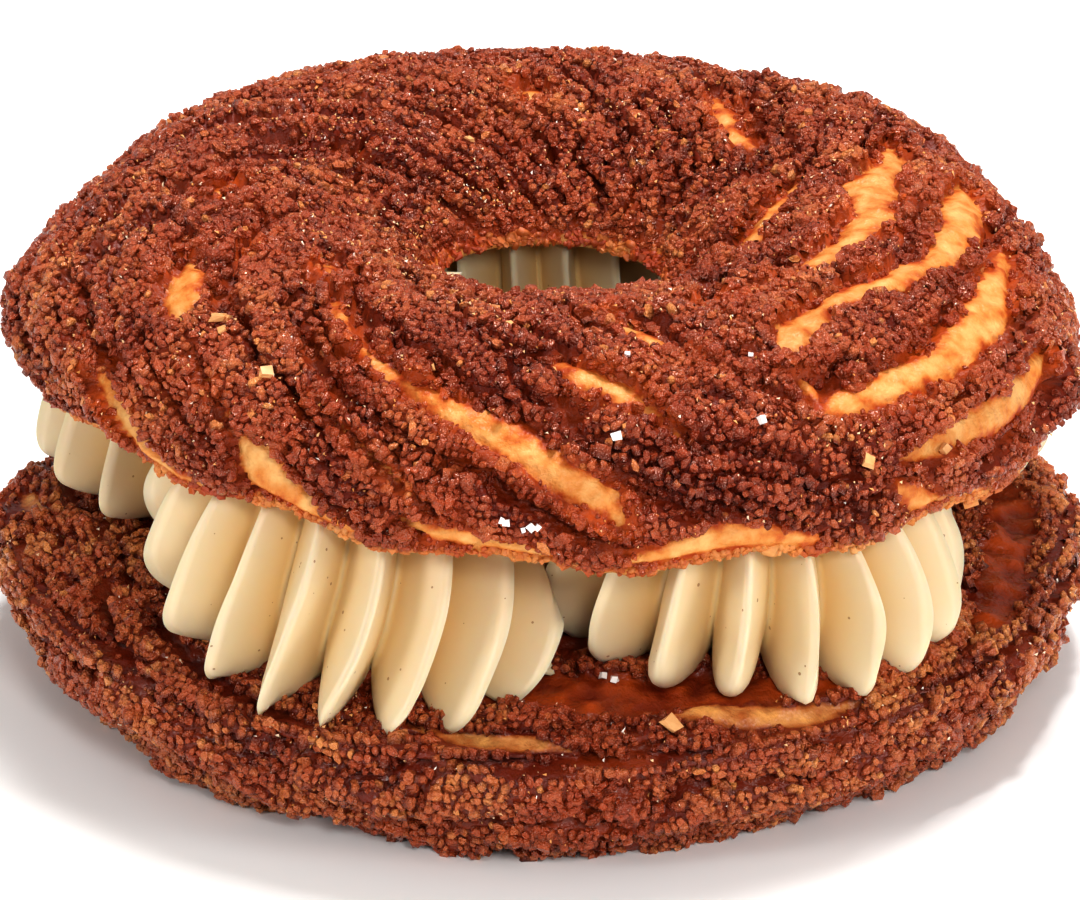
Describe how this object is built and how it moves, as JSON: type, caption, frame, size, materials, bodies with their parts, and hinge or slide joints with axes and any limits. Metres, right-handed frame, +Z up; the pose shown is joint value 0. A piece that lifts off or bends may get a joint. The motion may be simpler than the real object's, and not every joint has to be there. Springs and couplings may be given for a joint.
{
  "type": "paris-brest pastry",
  "caption": "Split ring of crackled choux pastry, filled with fluted swirls of piped cream side by side between the flat-footed base and the domed lid, with an open centre.",
  "frame": {"origin": "centre of the bounding box, on the surface that the pastry rests on", "axes": "+Z is up along the ring's axis; the front that shows the join of two swirls faces -Y; +X is to its right"},
  "size_m": [0.115, 0.1136, 0.053],
  "materials": {
    "baked_crust": "dark brown crackled sugar crust over baked choux",
    "baked_lid_crust": "dark brown crackled sugar crust, split open over golden choux",
    "vanilla_cream": "smooth pale cream with fine dark specks"
  },
  "bodies": {
    "root": {"base": "baked_crust", "cream_swirl_1": "vanilla_cream", "cream_swirl_2": "vanilla_cream", "cream_swirl_3": "vanilla_cream", "cream_swirl_4": "vanilla_cream", "cream_swirl_5": "vanilla_cream", "lid": "baked_lid_crust"}
  },
  "joints": []
}
